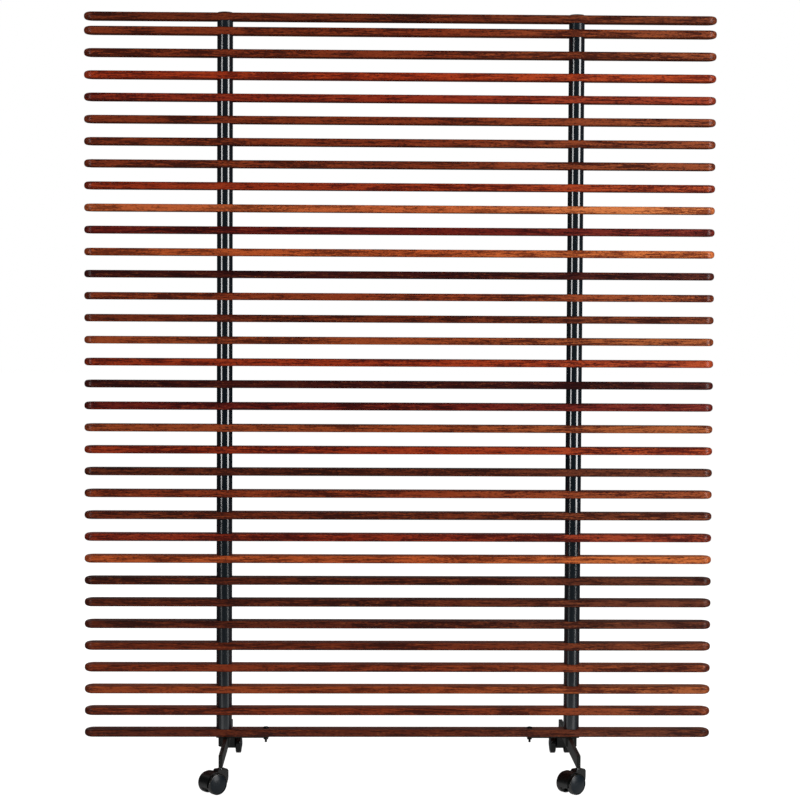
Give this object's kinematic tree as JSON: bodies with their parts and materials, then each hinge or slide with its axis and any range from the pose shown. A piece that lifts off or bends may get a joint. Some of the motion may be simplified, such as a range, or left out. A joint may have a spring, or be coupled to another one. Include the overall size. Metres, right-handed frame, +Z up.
{
  "type": "rotating slat room divider",
  "caption": "Free-standing see-through screen of horizontal hardwood slats threaded on two tubular posts, rolling on two steel feet with swivelling twin-wheel casters.",
  "frame": {"origin": "on the floor, midway between the two posts and under the middle of the slats", "axes": "+X along the slats to the viewer's right, +Y from the front to the back, +Z up"},
  "size_m": [1.524, 0.5307, 1.8415],
  "materials": {
    "wood": "satin oiled hardwood, each slat its own tone",
    "tube_black": "gloss black",
    "sleeve_grey": "satin dark blue-grey",
    "rod_steel": "plain steel",
    "foot_black": "satin black",
    "hardware_black": "satin black",
    "stem_steel": "bright plated steel",
    "body_plastic": "moulded, satin",
    "wheel_plastic": "moulded, smooth cap, matte tread"
  },
  "bodies": {
    "panel": {"slat_01": "wood", "slat_02": "wood", "slat_03": "wood", "slat_04": "wood", "slat_05": "wood", "slat_06": "wood", "slat_07": "wood", "slat_08": "wood", "slat_09": "wood", "slat_10": "wood", "slat_11": "wood", "slat_12": "wood", "slat_13": "wood", "slat_14": "wood", "slat_15": "wood", "slat_16": "wood", "slat_17": "wood", "slat_18": "wood", "slat_19": "wood", "slat_20": "wood", "slat_21": "wood", "slat_22": "wood", "slat_23": "wood", "slat_24": "wood", "slat_25": "wood", "slat_26": "wood", "slat_27": "wood", "slat_28": "wood", "slat_29": "wood", "slat_30": "wood", "slat_31": "wood", "slat_32": "wood", "slat_33": "wood", "slat_34": "wood", "spacer_tubes": "tube_black", "top_sleeves": "sleeve_grey", "tie_rods": "rod_steel", "cap_nuts": "hardware_black", "left_foot": "foot_black", "right_foot": "foot_black", "plate_bolts": "hardware_black", "plate_washers": "hardware_black", "plate_nuts": "hardware_black", "caster_stems": "stem_steel"},
    "front_left_swivel": {"front_left_caster_body": "body_plastic", "front_left_caster_axle": "stem_steel"},
    "front_left_left_wheel": {"front_left_caster_left_wheel": "wheel_plastic"},
    "front_left_right_wheel": {"front_left_caster_right_wheel": "wheel_plastic"},
    "front_right_swivel": {"front_right_caster_body": "body_plastic", "front_right_caster_axle": "stem_steel"},
    "front_right_left_wheel": {"front_right_caster_left_wheel": "wheel_plastic"},
    "front_right_right_wheel": {"front_right_caster_right_wheel": "wheel_plastic"},
    "rear_left_swivel": {"rear_left_caster_body": "body_plastic", "rear_left_caster_axle": "stem_steel"},
    "rear_left_left_wheel": {"rear_left_caster_left_wheel": "wheel_plastic"},
    "rear_left_right_wheel": {"rear_left_caster_right_wheel": "wheel_plastic"},
    "rear_right_swivel": {"rear_right_caster_body": "body_plastic", "rear_right_caster_axle": "stem_steel"},
    "rear_right_left_wheel": {"rear_right_caster_left_wheel": "wheel_plastic"},
    "rear_right_right_wheel": {"rear_right_caster_right_wheel": "wheel_plastic"}
  },
  "joints": [
    {"name": "front_left_swivel_turn", "type": "hinge", "parent": "panel", "child": "front_left_swivel", "pos_m": [-0.419, -0.216, 0], "axis": [0, 0, 1], "continuous": true},
    {"name": "front_left_left_wheel_spin", "type": "hinge", "parent": "front_left_swivel", "child": "front_left_left_wheel", "pos_m": [-0.43712, -0.23016, 0.025], "axis": [0.6157, -0.788, 0], "continuous": true},
    {"name": "front_left_right_wheel_spin", "type": "hinge", "parent": "front_left_swivel", "child": "front_left_right_wheel", "pos_m": [-0.43712, -0.23016, 0.025], "axis": [0.6157, -0.788, 0], "continuous": true},
    {"name": "front_right_swivel_turn", "type": "hinge", "parent": "panel", "child": "front_right_swivel", "pos_m": [0.419, -0.216, 0], "axis": [0, 0, 1], "continuous": true},
    {"name": "front_right_left_wheel_spin", "type": "hinge", "parent": "front_right_swivel", "child": "front_right_left_wheel", "pos_m": [0.40088, -0.23016, 0.025], "axis": [0.6157, -0.788, 0], "continuous": true},
    {"name": "front_right_right_wheel_spin", "type": "hinge", "parent": "front_right_swivel", "child": "front_right_right_wheel", "pos_m": [0.40088, -0.23016, 0.025], "axis": [0.6157, -0.788, 0], "continuous": true},
    {"name": "rear_left_swivel_turn", "type": "hinge", "parent": "panel", "child": "rear_left_swivel", "pos_m": [-0.419, 0.216, 0], "axis": [0, 0, 1], "continuous": true},
    {"name": "rear_left_left_wheel_spin", "type": "hinge", "parent": "rear_left_swivel", "child": "rear_left_left_wheel", "pos_m": [-0.4182, 0.23899, 0.025], "axis": [-0.9994, 0.0349, 0], "continuous": true},
    {"name": "rear_left_right_wheel_spin", "type": "hinge", "parent": "rear_left_swivel", "child": "rear_left_right_wheel", "pos_m": [-0.4182, 0.23899, 0.025], "axis": [-0.9994, 0.0349, 0], "continuous": true},
    {"name": "rear_right_swivel_turn", "type": "hinge", "parent": "panel", "child": "rear_right_swivel", "pos_m": [0.419, 0.216, 0], "axis": [0, 0, 1], "continuous": true},
    {"name": "rear_right_left_wheel_spin", "type": "hinge", "parent": "rear_right_swivel", "child": "rear_right_left_wheel", "pos_m": [0.4182, 0.23899, 0.025], "axis": [-0.9994, -0.0349, 0], "continuous": true},
    {"name": "rear_right_right_wheel_spin", "type": "hinge", "parent": "rear_right_swivel", "child": "rear_right_right_wheel", "pos_m": [0.4182, 0.23899, 0.025], "axis": [-0.9994, -0.0349, 0], "continuous": true}
  ]
}
